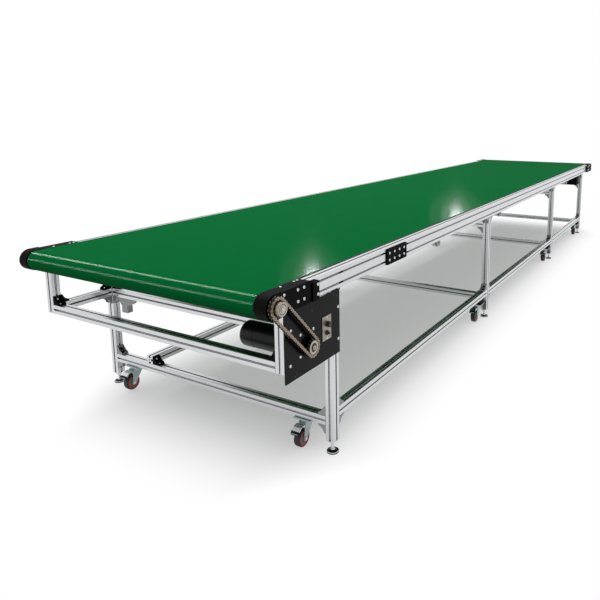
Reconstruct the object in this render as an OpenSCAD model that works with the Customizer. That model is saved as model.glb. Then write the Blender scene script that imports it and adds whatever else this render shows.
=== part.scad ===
// Wide aluminium belt conveyor: slotted aluminium frame on castors and
// levelling feet, flat belt over two rollers, chain drive at one end.
// X runs along the belt, the drive end is at -X, the chain side is -Y.
// The floor is z = 0 and the origin is the middle of the base.

/* [Overall] */
// length over the rounded end brackets
overall_len = 6040; // [3000:10:9000]
// distance between the centre lines of the two rows of legs
leg_gauge = 1300; // [600:10:1600]
// height of the side rails' top face
rail_top = 760; // [600:10:1000]
// how far the frame's centre line sits from y = 0, for the drive side
side_shift = 16; // [0:1:60]

/* [Slotted profile] */
// width of the square profile
bar = 40; // [30:5:50]
// opening of one slot
slot_w = 8.2; // [6:0.2:10]
// depth of the slot's neck
slot_neck = 4.5; // [3:0.5:6]
// width of the slot's pocket
pocket_w = 16; // [12:1:20]
// depth of the slot's pocket below the neck
pocket_d = 6; // [4:0.5:8]
// height of a side rail, two slots high
rail_h = 80; // [60:10:120]

/* [Legs] */
// drive roller axis to the first pair of legs
drive_overhang = 375; // [300:5:500]
// last pair of legs to the idle roller axis
idle_overhang = 475; // [300:5:600]
// first bay over all bays but the last
first_bay = 1850; // [1000:10:2400]
// second bay
second_bay = 1850; // [1000:10:2400]
// underside of the legs above the floor
leg_bottom = 52; // [40:1:80]
// underside of the lower cross bars
low_cross_z = 118; // [100:1:200]
// underside of the lower long bars
low_long_z = 152; // [120:1:260]
// underside of the drive end's short frame
sub_z = 460; // [400:5:560]
// hanging post centre to first leg centre
post_reach = 300; // [200:5:340]
// underside of the upper cross bars
high_cross_z = 612; // [560:2:630]
// underside of the last upper cross bar
end_cross_z = 558; // [500:2:620]
// left lower long bar, in from the left legs
long_bar_in = 262; // [80:2:500]
// drive or idle roller axis to the thick join plate
join_at = 210; // [200:1:260]
// first leg to the rail's splice plate
splice_at = 415; // [100:5:800]
// length of the splice plate
splice_len = 188; // [100:2:300]
// width of the cable tray
tray_w = 90; // [60:5:150]
// height of the cable tray
tray_h = 93; // [40:1:100]

/* [Belt] */
// belt thickness
belt_t = 3; // [2:0.5:6]
// roller radius
roller_r = 40; // [30:1:60]
// roller axis height
roller_z = 720; // [600:1:900]
// gap between belt edge and side rail
belt_gap = 6; // [3:1:20]
// radius of the rounded end brackets
nose_r = 45; // [43:1:60]
// thickness of an end bracket from inside face to outside face
bracket_t = 50; // [44:1:80]

/* [Chain drive] */
// chain pitch
pitch = 12.7; // [9.525:0.001:19.05]
// teeth on the roller's sprocket
top_teeth = 17; // [13:1:25]
// teeth on the motor's sprocket
low_teeth = 16; // [11:1:19]
// hanging post centre to motor shaft centre
motor_gap = 115; // [85:5:180]
// links in the chain's loop
links = 60; // [48:2:70]
// motor body radius
motor_r = 50; // [35:1:60]
// motor body length behind the plate
motor_len = 290; // [150:5:400]
// mounting plate thickness
plate_t = 6; // [4:1:10]
// distance from the leg's outer face to the chain's middle
chain_out = 22; // [20:1:60]
// how far the roller sprocket's hub stands out from the chain
hub_out = 22; // [8:1:40]

/* [Castors] */
// wheel radius
wheel_r = 37.5; // [30:0.5:63]
// wheel width
wheel_w = 28; // [20:1:40]
// wheel's height above the floor while the feet carry the load
wheel_lift = 3; // [1:1:10]
// castor's swivel axis inboard of the leg centre
castor_in = 132; // [110:1:200]
// swivel axis ahead of the leg, for the castors under the right long bar
castor_back = 106; // [104:1:180]
// wheel axle behind the swivel axis
trail = 30; // [20:1:45]
// levelling pad radius
pad_r = 25; // [20:1:40]

/* [Hidden] */
$fn = 48;
drive_x = -overall_len / 2 + nose_r;
idle_x = overall_len / 2 - nose_r;
leg1_x = drive_x + drive_overhang;
leg4_x = idle_x - idle_overhang;
leg2_x = leg1_x + first_bay;
leg3_x = leg2_x + second_bay;
leg_x = [leg1_x, leg2_x, leg3_x, leg4_x];
post_x = leg1_x - post_reach;
half = leg_gauge / 2;
mid_y = side_shift;
right_y = mid_y - half;
left_y = mid_y + half;
sides = [-1, 1];
rail_bottom = rail_top - rail_h;
rail_x0 = drive_x + 60;
rail_x1 = idle_x - 60;
belt_half = half - bar / 2 - belt_gap;
belt_r = roller_r + belt_t;
chain_y = right_y - bar / 2 - chain_out;
motor_x = post_x + motor_gap;
top_r = pitch / 2 / sin(180 / top_teeth);
low_r = pitch / 2 / sin(180 / low_teeth);
// radius whose arc is one pitch for each tooth
top_arc = top_teeth * pitch / 2 / PI;
low_arc = low_teeth * pitch / 2 / PI;
// sprocket distance that the number of links gives
rough_c = (links * pitch - PI * (top_arc + low_arc)) / 2;
tilt = asin((top_r - low_r) / rough_c);
centre_c = (links * pitch - (180 + 2 * tilt) * top_arc * PI / 180
            - (180 - 2 * tilt) * low_arc * PI / 180) / 2 / cos(tilt);
motor_z = roller_z - sqrt(pow(centre_c, 2) - pow(motor_x - drive_x, 2));
chain_a = atan2(motor_z - roller_z, motor_x - drive_x);
wheel_z = wheel_r + wheel_lift;
cast_grey = [0.62, 0.64, 0.64];
alu = [0.78, 0.79, 0.8];
black = [0.06, 0.06, 0.07];
zinc = [0.72, 0.73, 0.75];
chain_grey = [0.36, 0.33, 0.3];

// one slot's outline, cut inwards from the top edge at y = 0
module slot_cut() {
    translate([-slot_w / 2, -slot_neck])
        square([slot_w, slot_neck + 1]);
    polygon([[-pocket_w / 2, -slot_neck], [pocket_w / 2, -slot_neck],
             [pocket_w / 2, -slot_neck - pocket_d / 2], [slot_w / 2, -slot_neck - pocket_d],
             [-slot_w / 2, -slot_neck - pocket_d], [-pocket_w / 2, -slot_neck - pocket_d / 2]]);
}

// rectangle with cut corners
module cut_square(w, h, c) {
    polygon([[-w / 2 + c, -h / 2], [w / 2 - c, -h / 2], [w / 2, -h / 2 + c], [w / 2, h / 2 - c],
             [w / 2 - c, h / 2], [-w / 2 + c, h / 2], [-w / 2, h / 2 - c], [-w / 2, -h / 2 + c]]);
}

// square profile with one slot in each face
module bar_section() {
    difference() {
        cut_square(bar, bar, 1.2);
        for (a = [0:90:270])
            rotate(a)
                translate([0, bar / 2])
                    slot_cut();
        circle(d = 7, $fn = 16);
    }
}

// side rail profile: two slots in each tall face, one above and one below
module rail_section() {
    difference() {
        cut_square(bar, rail_h, 2);
        for (s = sides)
            translate([0, s * rail_h / 2])
                rotate(s > 0 ? 0 : 180)
                    slot_cut();
        for (s = sides)
            for (k = sides)
                translate([s * bar / 2, k * rail_h / 4])
                    rotate(s > 0 ? -90 : 90)
                        slot_cut();
    }
}

// profile bars along each axis, given from their lower end
module bar_x(x0, x1, y, z) {
    translate([x0, y, z + bar / 2])
        rotate([90, 0, 90])
            linear_extrude(x1 - x0)
                bar_section();
}

module bar_y(x, y0, y1, z) {
    translate([x, y1, z + bar / 2])
        rotate([90, 0, 0])
            linear_extrude(y1 - y0)
                bar_section();
}

module bar_z(x, y, z0, z1) {
    translate([x, y, z0])
        linear_extrude(z1 - z0)
            bar_section();
}

module rail(y) {
    color(alu)
        translate([rail_x0, y, rail_top - rail_h / 2])
            rotate([90, 0, 90])
                linear_extrude(rail_x1 - rail_x0)
                    rail_section();
}

module rail_right() {
    rail(right_y);
}

module rail_left() {
    rail(left_y);
}

module leg_row(y) {
    color(alu)
        for (x = leg_x)
            bar_z(x, y, leg_bottom, rail_bottom);
}

module legs_right() {
    leg_row(right_y);
}

module legs_left() {
    leg_row(left_y);
}

module low_bars_right() {
    color(alu)
        for (i = [0:2])
            bar_x(leg_x[i] + bar / 2, leg_x[i + 1] - bar / 2, right_y, low_long_z);
}

// one long bar that lies on the lower cross bars
module low_bars_left() {
    color(alu)
        bar_x(leg1_x - bar / 2, leg4_x + bar / 2, left_y - long_bar_in, low_cross_z + bar);
}

module low_cross_bars() {
    color(alu)
        for (x = leg_x)
            bar_y(x, right_y + bar / 2, left_y - bar / 2, low_cross_z);
}

module high_cross_bars() {
    color(alu)
        for (i = [1:3])
            bar_y(leg_x[i], right_y + bar / 2, left_y - bar / 2, i < 3 ? high_cross_z : end_cross_z);
}

module drive_posts() {
    color(alu)
        for (y = [right_y, left_y])
            bar_z(post_x, y, sub_z, rail_bottom);
}

module drive_subframe() {
    color(alu) {
        bar_y(post_x, right_y + bar / 2, left_y - bar / 2, sub_z);
        bar_y(leg1_x, right_y + bar / 2, left_y - bar / 2, sub_z);
        bar_x(post_x + bar / 2, leg1_x - bar / 2, left_y, sub_z);
    }
}

// sheet bed that the belt slides on, with folded edges
module bed() {
    color(zinc)
        translate([0, mid_y, 0])
            difference() {
                translate([drive_x + 70, -belt_half + 4, roller_z + 15])
                    cube([idle_x - drive_x - 140, 2 * belt_half - 8, roller_r - 15.5]);
                translate([drive_x + 60, -belt_half + 6, roller_z + 14])
                    cube([idle_x - drive_x - 120, 2 * belt_half - 12, roller_r - 16.5]);
            }
}

// cross ties between the rails, inside the belt's loop
module bed_ties() {
    color(alu)
        for (x = [for (k = [0:6]) drive_x + 150 + k * (idle_x - drive_x - 300) / 6])
            translate([x - 20, right_y + bar / 2, roller_z - 16])
                cube([40, leg_gauge - bar, 30]);
}

module belt_outline(r) {
    hull_len = idle_x - drive_x;
    translate([0, -r])
        square([hull_len, 2 * r]);
    circle(r, $fn = 96);
    translate([hull_len, 0])
        circle(r, $fn = 96);
}

module belt() {
    color([0, 0.42, 0.2])
        translate([drive_x, mid_y + belt_half, roller_z])
            rotate([90, 0, 0])
                linear_extrude(2 * belt_half)
                    difference() {
                        belt_outline(belt_r);
                        belt_outline(roller_r);
                    }
}

// roller shafts end 5 mm outside the end brackets
shaft_left = left_y - bar / 2 + bracket_t + 5;
shaft_right = right_y + bar / 2 - bracket_t - 5;

module roller(x, y0, y1, shaft0, shaft1) {
    translate([x, y1, roller_z])
        rotate([90, 0, 0])
            cylinder(r = roller_r, h = y1 - y0);
    translate([x, shaft1, roller_z])
        rotate([90, 0, 0])
            cylinder(r = 10, h = shaft1 - shaft0);
}

module drive_roller() {
    color(zinc)
        roller(drive_x, mid_y - belt_half, mid_y + belt_half, chain_y - hub_out - 3, shaft_left);
}

module idle_roller() {
    color(zinc)
        roller(idle_x, mid_y - belt_half, mid_y + belt_half, shaft_right, shaft_left);
}

return_x = [leg1_x + first_bay * 0.58, leg2_x + second_bay * 0.17, (leg3_x + leg4_x) / 2];
return_r = 19;
return_z = roller_z - belt_r - return_r;

module return_rollers() {
    color(zinc)
        for (x = return_x) {
            translate([x, mid_y + belt_half, return_z])
                rotate([90, 0, 0])
                    cylinder(r = return_r, h = 2 * belt_half);
            translate([x, left_y - bar / 2 + 4, return_z])
                rotate([90, 0, 0])
                    cylinder(r = 6, h = leg_gauge - bar + 8);
        }
}

module return_brackets() {
    color(cast_grey)
        for (x = return_x)
            for (s = sides)
                difference() {
                    translate([x - 22, mid_y + s * (half - 15) - 5, return_z - 20])
                        cube([44, 10, rail_bottom - return_z + 20]);
                    translate([x, mid_y + s * (half - 15) + 6, return_z])
                        rotate([90, 0, 0])
                            cylinder(r = 6, h = 12);
                }
}

// rounded end bracket: half-round nose, square body on the rail's end, a thin cover
// along the rail's top and a lobed rear on the rail's outer face
module end_bracket(x, dir, s) {
    y0 = mid_y + s * half;
    body = 40;
    tail = join_at - 2;
    low = rail_bottom - roller_z + 0.3;
    high = nose_r - 3;
    translate([x, s > 0 ? y0 - bar / 2 + bracket_t : y0 + bar / 2, roller_z])
        rotate([90, 0, 0])
            linear_extrude(bracket_t)
                difference() {
                    union() {
                        circle(nose_r, $fn = 96);
                        translate([dir > 0 ? 0 : -body, -nose_r])
                            square([body, 2 * nose_r]);
                    }
                    circle(10, $fn = 48);
                }
    translate([x, s > 0 ? y0 - bar / 2 + bracket_t : y0 - bar / 2, roller_z])
        rotate([90, 0, 0])
            linear_extrude(bracket_t - bar)
                difference() {
                    union() {
                        translate([dir > 0 ? body - 1 : -tail + 12, low])
                            square([tail - body - 11, high - low]);
                        for (z = [low + 12, high - 12])
                            translate([dir * (tail - 12), z])
                                circle(12, $fn = 48);
                        translate([dir > 0 ? tail - 16 : -tail, low + 16])
                            square([16, high - low - 32]);
                    }
                    translate([dir * (tail + 4), (low + high) / 2])
                        circle(11, $fn = 48);
                }
    translate([dir > 0 ? x + body - 1 : x - 200, s > 0 ? y0 - bar / 2 : y0 + bar / 2 - bracket_t, rail_top])
        cube([201 - body, bracket_t, 2]);
}

module drive_brackets() {
    color(black)
        for (s = sides)
            end_bracket(drive_x, 1, s);
}

module idle_brackets() {
    color(black)
        for (s = sides)
            end_bracket(idle_x, -1, s);
}

module motor_plate() {
    color(black)
        translate([0, right_y - bar / 2, 0])
            rotate([90, 0, 0])
                linear_extrude(plate_t)
                    difference() {
                        translate([post_x - 20, sub_z - 35])
                            square([post_reach + 40, rail_bottom - sub_z + 35]);
                        translate([motor_x, motor_z])
                            circle(12);
                    }
}

module switch_plate() {
    color(zinc)
        translate([leg1_x - 100, right_y - bar / 2 - plate_t - 2, motor_z - 14])
            cube([58, 2, 94]);
}

module start_switch() {
    color(black)
        translate([leg1_x - 67, right_y - bar / 2 - plate_t - 2, motor_z + 47])
            rotate([90, 0, 0])
                cylinder(r = 11, h = 14);
}

module gear_motor() {
    back = right_y - bar / 2;
    color(black) {
        translate([motor_x, back, motor_z])
            rotate([-90, 0, 0]) {
                translate([-46, -46, 0])
                    cube([92, 92, 62]);
                cylinder(r = motor_r - 3, h = 70);
                translate([0, 0, 66])
                    rotate_extrude()
                        polygon([[0, 0], [motor_r, 0], [motor_r, 150], [motor_r - 1.5, 151],
                                 [motor_r - 1.5, 154], [motor_r, 155], [motor_r, motor_len - 80],
                                 [motor_r - 3, motor_len - 72], [motor_r - 9, motor_len - 66],
                                 [0, motor_len - 66]]);
            }
        translate([motor_x, chain_y - 10, motor_z])
            rotate([-90, 0, 0])
                cylinder(r = 8, h = chain_out + 12);
    }
}

// toothed disc: each tooth is a tapered point between two round valleys
function tooth_points(teeth, r) = [
    for (i = [0:teeth - 1])
        for (k = [0:4])
            let (
                a = (i + [0, 0.28, 0.42, 0.58, 0.72][k]) * 360 / teeth,
                d = r + [-4.3, -2.4, 3.2, 3.2, -2.4][k]
            )
                [d * cos(a), d * sin(a)]
];

module sprocket(teeth, r, bore, turn, hub, out) {
    rotate([90, turn, 0])
        difference() {
            union() {
                translate([0, 0, -3.4])
                    linear_extrude(6.8)
                        polygon(tooth_points(teeth, r));
                cylinder(r = hub, h = out);
            }
            translate([0, 0, -20])
                cylinder(r = bore, h = 60);
        }
}

module motor_sprocket() {
    color(chain_grey)
        translate([motor_x, chain_y, motor_z])
            sprocket(low_teeth, low_r, 8, -(chain_a + 90 - tilt), low_r - 6.6, 7);
}

module roller_sprocket() {
    color(chain_grey)
        translate([drive_x, chain_y, roller_z])
            sprocket(top_teeth, top_r, 10, -chain_a - first_top, top_r - 9.5, hub_out);
}

// pin positions round the loop, counted in pitches from the small sprocket
run = centre_c * cos(tilt) / pitch;
low_wrap = (180 - 2 * tilt) / 360 * low_teeth;
// angle of the first pin that lies on the large sprocket
first_top = -90 + tilt - (ceil(low_wrap + run) - low_wrap - run) * 360 / top_teeth;
function pin(n) =
    n < low_wrap ? let (a = 90 - tilt - n * 360 / low_teeth)
        [centre_c + low_r * cos(a), low_r * sin(a)]
    : n < low_wrap + run ? let (d = (n - low_wrap) * pitch)
        [centre_c + low_r * sin(tilt) - d * cos(tilt), -low_r * cos(tilt) - d * sin(tilt)]
    : n < links - run ? let (a = -90 + tilt - (n - low_wrap - run) * 360 / top_teeth)
        [top_r * cos(a), top_r * sin(a)]
    : let (d = (links - n) * pitch)
        [centre_c + low_r * sin(tilt) - d * cos(tilt), low_r * cos(tilt) + d * sin(tilt)];

// one waisted link plate from pin a to pin b
module link_plate(a, b) {
    translate(a)
        rotate(atan2(b[1] - a[1], b[0] - a[0]))
            polygon([[-5.4, 2], [-2.5, 5.4], [2.5, 5.2], [pitch / 2, 4.2], [pitch - 2.5, 5.2],
                     [pitch + 2.5, 5.4], [pitch + 5.4, 2], [pitch + 5.4, -2], [pitch + 2.5, -5.4],
                     [pitch - 2.5, -5.2], [pitch / 2, -4.2], [2.5, -5.2], [-2.5, -5.4], [-5.4, -2]]);
}

module drive_chain() {
    pins = [for (i = [0:links]) pin(i % links)];
    color(chain_grey)
        translate([drive_x, chain_y, roller_z])
            rotate([90, -chain_a, 0]) {
                for (i = [0:links - 1])
                    for (k = sides)
                        translate([0, 0, k * (i % 2 == 0 ? 6 : 4.7) - 0.75])
                            linear_extrude(1.5)
                                link_plate(pins[i], pins[i + 1]);
                for (i = [0:links - 1])
                    translate([pins[i][0], pins[i][1], -4.2])
                        cylinder(r = 3.95, h = 8.4, $fn = 8);
            }
}

// thick plate behind each end bracket, clamped over the rail's two slots
module join_plates() {
    color(black)
        for (s = sides)
            for (x = [drive_x + join_at, idle_x - join_at - 38])
                translate([x, s > 0 ? left_y + bar / 2 : right_y - bar / 2 - 16, rail_bottom + 1]) {
                    cube([38, 16, rail_h - 8]);
                }
}

module splice_plates() {
    color(black)
        for (s = sides)
            translate([leg1_x + splice_at, s > 0 ? left_y + bar / 2 : right_y - bar / 2 - 7, rail_bottom + 3])
                difference() {
                    cube([splice_len, 7, rail_h - 10]);
                    translate([10, s > 0 ? 4 : -1, 10])
                        cube([splice_len - 20, 4, rail_h - 30]);
                }
}

// cast corner bracket: two flanges and two side ribs with a hollow curve
module corner(size) {
    w = bar - 4;
    translate([0, w / 2, 0])
        rotate([90, 0, 0]) {
            linear_extrude(w)
                polygon([[0, 0], [size, 0], [size, 4], [4, 4], [4, size], [0, size]]);
            for (z = [0, w - 4])
                translate([0, 0, z])
                    linear_extrude(4)
                        difference() {
                            polygon([[0, 0], [size, 0], [size, 6], [6, size], [0, size]]);
                            translate([size + 5, size + 5])
                                circle(size - 4, $fn = 48);
                        }
        }
}

// corner turned so that it sits in the angle of a post and a bar; up is +1 or -1
module corner_at(x, y, z, turn, up) {
    translate([x, y, z])
        rotate([0, 0, turn])
            scale([1, 1, up])
                corner(38);
}

module cast_corners() {
    color(cast_grey)
        for (s = sides) {
            y = mid_y + s * half;
            for (i = [0:3]) {
                x = leg_x[i];
                for (k = sides) {
                    // under the rail
                    if (i > 0 || (k > 0 && s > 0))
                        corner_at(x + k * bar / 2, y, rail_bottom, k > 0 ? 0 : 180, -1);
                    // at the lower long bars
                    if (s < 0 && i + k >= 0 && i + k <= 3) {
                        corner_at(x + k * bar / 2, y, low_long_z + bar, k > 0 ? 0 : 180, 1);
                        corner_at(x + k * bar / 2, y, low_long_z, k > 0 ? 0 : 180, -1);
                    }
                    // at the cross bars
                    corner_at(x, y - s * bar / 2, k > 0 ? low_cross_z + bar : low_cross_z, -s * 90, k);
                }
                if (i > 0)
                    corner_at(x, y - s * bar / 2, i < 3 ? high_cross_z : end_cross_z, -s * 90, -1);
            }
            // below the first beam
            corner_at(leg1_x, y - s * bar / 2, sub_z, -s * 90, -1);
        }
    color(cast_grey)
        corner_at(leg1_x - bar / 2, left_y, sub_z, 180, -1);
}

module black_corners() {
    color(black) {
        for (s = sides) {
            corner_at(post_x, mid_y + s * (half - bar / 2), sub_z + bar, -s * 90, 1);
            corner_at(leg1_x, mid_y + s * (half - bar / 2), sub_z + bar, -s * 90, 1);
        }
        corner_at(post_x + bar / 2, left_y, sub_z + bar, 0, 1);
        corner_at(leg1_x - bar / 2, left_y, sub_z + bar, 180, 1);
        corner_at(post_x + bar / 2, left_y, rail_bottom, 0, -1);
        for (x = leg_x)
            corner_at(x, left_y - long_bar_in - bar / 2, low_cross_z + bar, -90, 1);
    }
}

// deep black tray below the belt at the idle end
module cable_tray() {
    color(black)
        translate([leg4_x - bar / 2 - tray_w, right_y + bar / 2, end_cross_z + 5])
            difference() {
                cube([tray_w, leg_gauge - bar, tray_h]);
                translate([3, 3, 3])
                    cube([tray_w - 6, leg_gauge - bar - 6, tray_h]);
            }
}

// small sensor box on a tapered plate below the first beam
module sensor_box() {
    y = left_y - 106;
    color(cast_grey)
        translate([leg1_x - 20, y, sub_z]) {
            rotate([90, 0, 90])
                linear_extrude(4)
                    polygon([[-84, 0], [44, 0], [44, -10], [20, -38], [20, -52], [-20, -52], [-20, -38],
                             [-84, -10]]);
            translate([0, -84, -4])
                cube([34, 128, 4]);
            translate([0, -20, -72])
                cube([30, 40, 38]);
        }
}

module foot_studs() {
    color(zinc)
        for (x = leg_x)
            for (y = [right_y, left_y])
                translate([x, y, 0]) {
                    translate([0, 0, 5])
                        rotate_extrude()
                            polygon([[0, 0], [pad_r - 1, 0], [pad_r - 1, 3], [15, 7], [10, 12], [6, 13],
                                     [6, leg_bottom - 5], [0, leg_bottom - 5]]);
                    translate([0, 0, leg_bottom - 8])
                        cylinder(r = 10, h = 8, $fn = 6);
                }
}

module foot_pads() {
    color(black)
        for (x = leg_x)
            for (y = [right_y, left_y])
                translate([x, y, 0])
                    cylinder(r = pad_r, h = 5);
}

plate_z = low_cross_z - 4;
// swivel axis of each castor: the right ones behind the first hang under the long bar
function castor_at(i, s) = s < 0 && i > 0 ? [leg_x[i] - castor_back, right_y + bar / 2]
    : [leg_x[i], mid_y + s * (half - castor_in)];

module castor_plates() {
    color(zinc)
        for (i = [0:3])
            for (s = sides)
                translate([castor_at(i, s)[0], castor_at(i, s)[1], plate_z]) {
                    translate([-30, -42, 0])
                        cube([60, 84, 4]);
                    difference() {
                        translate([0, 0, -8])
                            cylinder(r = 24, h = 8);
                        translate([0, 0, -9])
                            cylinder(r = 8.05, h = 7);
                    }
                }
}

// blocks that bring the castors under the right long bar down to the others' height
module castor_blocks() {
    color(black)
        for (i = [1:3])
            translate([castor_at(i, -1)[0] - 28, right_y - 18, low_cross_z])
                cube([56, bar + 38, low_long_z - low_cross_z]);
}

// fork: swivel head, king pin, two tapered arms, axle and the brake pedal
module fork(i, s) {
    arm_y = wheel_w / 2 + 4;
    top = plate_z - 9;
    color(zinc)
        translate([castor_at(i, s)[0], castor_at(i, s)[1], 0]) {
            translate([0, 0, top - 6])
                cylinder(r = 26, h = 6.6);
            translate([0, 0, top])
                cylinder(r = 8, h = 7);
            for (k = sides)
                translate([0, k * arm_y + 1.5, 0])
                    rotate([90, 0, 0])
                        linear_extrude(3)
                            polygon([[-26, top - 2], [20, top - 2], [20, top - 14],
                                     [-trail + 12, wheel_z - 4], [-trail + 6, wheel_z - 11],
                                     [-trail - 6, wheel_z - 11], [-trail - 11, wheel_z - 2],
                                     [-32, top - 22]]);
            translate([-26, -arm_y - 1.5, top - 5])
                cube([46, 2 * arm_y + 3, 3]);
            translate([-trail, arm_y + 5, wheel_z])
                rotate([90, 0, 0])
                    cylinder(r = 6, h = 2 * arm_y + 10);
            // brake pedal, a bent plate with a lip
            translate([0, 15, 0])
                rotate([90, 0, 0])
                    linear_extrude(30)
                        polygon([[-24, top - 5], [-44, top - 7], [-62, top - 15], [-72, top - 27],
                                 [-78, top - 27], [-78, top - 30], [-70, top - 30], [-59, top - 18],
                                 [-43, top - 10], [-24, top - 8]]);
        }
}

module fork_r1() { fork(0, -1); }
module fork_r2() { fork(1, -1); }
module fork_r3() { fork(2, -1); }
module fork_r4() { fork(3, -1); }
module fork_l1() { fork(0, 1); }
module fork_l2() { fork(1, 1); }
module fork_l3() { fork(2, 1); }
module fork_l4() { fork(3, 1); }

// wheel: tyre with round shoulders, rim ring, thin web and hub
module castor_wheel(i, s) {
    w = wheel_w / 2;
    color(black)
        translate([castor_at(i, s)[0] - trail, castor_at(i, s)[1], wheel_z])
            rotate([90, 0, 0])
                rotate_extrude($fn = 72)
                    polygon([[6.05, -w], [11, -w], [12, -w + 4], [wheel_r - 14, -w + 5],
                             [wheel_r - 13, -w + 1], [wheel_r - 5, -w + 1], [wheel_r - 1.5, -w + 3],
                             [wheel_r, -w + 7], [wheel_r, w - 7], [wheel_r - 1.5, w - 3],
                             [wheel_r - 5, w - 1], [wheel_r - 13, w - 1], [wheel_r - 14, w - 5],
                             [12, w - 4], [11, w], [6.05, w]]);
}

module wheel_r1() { castor_wheel(0, -1); }
module wheel_r2() { castor_wheel(1, -1); }
module wheel_r3() { castor_wheel(2, -1); }
module wheel_r4() { castor_wheel(3, -1); }
module wheel_l1() { castor_wheel(0, 1); }
module wheel_l2() { castor_wheel(1, 1); }
module wheel_l3() { castor_wheel(2, 1); }
module wheel_l4() { castor_wheel(3, 1); }

rail_right();
rail_left();
legs_right();
legs_left();
low_bars_right();
low_bars_left();
low_cross_bars();
high_cross_bars();
drive_posts();
drive_subframe();
bed();
bed_ties();
belt();
drive_roller();
idle_roller();
return_rollers();
return_brackets();
drive_brackets();
idle_brackets();
join_plates();
motor_plate();
switch_plate();
start_switch();
gear_motor();
motor_sprocket();
roller_sprocket();
drive_chain();
splice_plates();
cast_corners();
black_corners();
cable_tray();
sensor_box();
foot_studs();
foot_pads();
castor_plates();
castor_blocks();
fork_r1();
fork_r2();
fork_r3();
fork_r4();
fork_l1();
fork_l2();
fork_l3();
fork_l4();
wheel_r1();
wheel_r2();
wheel_r3();
wheel_r4();
wheel_l1();
wheel_l2();
wheel_l3();
wheel_l4();
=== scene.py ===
"""Aluminium belt conveyor on castors: its looks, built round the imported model.

X runs along the belt, the drive end is at -X and the chain side is -Y.
Sizes are written in millimetres, and MM turns them to Blender's metres.
"""
import math

import bmesh
import bpy
from mathutils import Matrix, Vector


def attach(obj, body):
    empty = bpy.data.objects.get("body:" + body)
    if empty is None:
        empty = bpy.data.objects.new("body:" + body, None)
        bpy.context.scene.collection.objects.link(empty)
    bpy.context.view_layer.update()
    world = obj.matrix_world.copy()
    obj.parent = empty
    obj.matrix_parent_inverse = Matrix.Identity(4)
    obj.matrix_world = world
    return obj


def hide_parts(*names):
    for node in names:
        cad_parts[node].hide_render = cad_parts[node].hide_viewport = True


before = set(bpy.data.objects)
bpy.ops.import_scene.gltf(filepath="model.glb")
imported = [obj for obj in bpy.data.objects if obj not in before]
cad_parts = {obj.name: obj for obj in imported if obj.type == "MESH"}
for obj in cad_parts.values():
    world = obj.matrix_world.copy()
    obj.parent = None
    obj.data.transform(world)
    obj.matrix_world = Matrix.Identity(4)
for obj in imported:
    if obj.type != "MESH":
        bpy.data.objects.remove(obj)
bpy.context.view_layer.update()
MM = 0.001

# Places that the whole frame shares: legs and hanging posts, the two leg rows and the belt's middle.
LEG_X = (-2600, -750, 1100, 2500)
POST_X = -2900
RIGHT_Y, LEFT_Y, MID_Y = -634, 666, 16
BAR = 40
RAIL_BOTTOM = 680
RAIL_SLOTS = (740, 700)
# Undersides of the lower bars, the drive end's short frame and the upper cross bars of each leg pair.
LOW_CROSS, LOW_LONG, SUB_BAR = 118, 152, 460
HIGH_CROSS = (None, 612, 612, 558)
LONG_BAR_Y = 404
DRIVE_X, IDLE_X, ROLLER_Z, ROLLER_R = -2975, 2975, 720, 40
BELT_T, BELT_HALF = 3, 624
CHAIN_Y = -676
# Castors: in from the leg row, back from the leg on the long bar, and the axle behind the swivel.
CASTOR_IN, CASTOR_BACK, TRAIL = 132, 106, 30
WHEEL_R, WHEEL_Z = 37.5, 40.5
PLATE_Z = 114
# Faces of the black plates, out from the middle of the rail that carries them.
BRACKET_FACE, JOIN_FACE, SPLICE_FACE, MOTOR_PLATE_FACE = 30, 36, 24, 26


# ---------------------------------------------------------------- camera
def set_camera():
    """Puts the camera where the photograph was taken from, with the picture's shift."""
    data = bpy.data.cameras.new("photo_camera")
    data.sensor_width = 36.0
    data.lens = 35.17
    data.shift_x = -0.1262
    data.shift_y = -0.1465
    data.clip_end = 60.0
    camera = bpy.data.objects.new("photo_camera", data)
    camera.location = (-4.4147, -1.8499, 1.3422)
    camera.rotation_euler = (math.radians(80.564), 0.0, math.radians(-60.72))
    bpy.context.scene.collection.objects.link(camera)
    bpy.context.scene.camera = camera


set_camera()
bpy.context.scene.view_settings.view_transform = "Standard"


# ------------------------------------------------------------- materials
def colour(code):
    """Linear colour from an sRGB hex value."""
    parts = [int(code[i:i + 2], 16) / 255 for i in (1, 3, 5)]
    linear = [c / 12.92 if c <= 0.04045 else ((c + 0.055) / 1.055) ** 2.4 for c in parts]
    return (*linear, 1.0)


def add(tree, kind, values=None, **settings):
    """Adds a node; values are socket defaults or the outputs that feed them."""
    node = tree.nodes.new(kind)
    for name, value in settings.items():
        setattr(node, name, value)
    for name, value in (values or {}).items():
        if isinstance(value, bpy.types.NodeSocket):
            tree.links.new(value, node.inputs[name])
        else:
            node.inputs[name].default_value = value
    return node


def finish_of(name, **values):
    """A new material with one principled shader; returns the material, its tree and that shader."""
    material = bpy.data.materials.new(name)
    material.use_nodes = True
    tree = material.node_tree
    tree.nodes.clear()
    named = {key.replace("_", " ").title().replace("Ior", "IOR"): value for key, value in values.items()}
    shader = add(tree, "ShaderNodeBsdfPrincipled", named)
    add(tree, "ShaderNodeOutputMaterial", {"Surface": shader.outputs["BSDF"]})
    return material, tree, shader


def grain(tree, sizes, detail=2.0, rough=0.5):
    """Noise whose patches have these real sizes in millimetres along X, Y and Z."""
    place = add(tree, "ShaderNodeTexCoord").outputs["Object"]
    scaled = add(tree, "ShaderNodeMapping", {"Vector": place, "Scale": [1 / (s * MM) for s in sizes]})
    noise = add(tree, "ShaderNodeTexNoise", {"Vector": scaled.outputs["Vector"], "Scale": 1.0,
                                             "Detail": detail, "Roughness": rough})
    return noise.outputs["Fac"]


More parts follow.
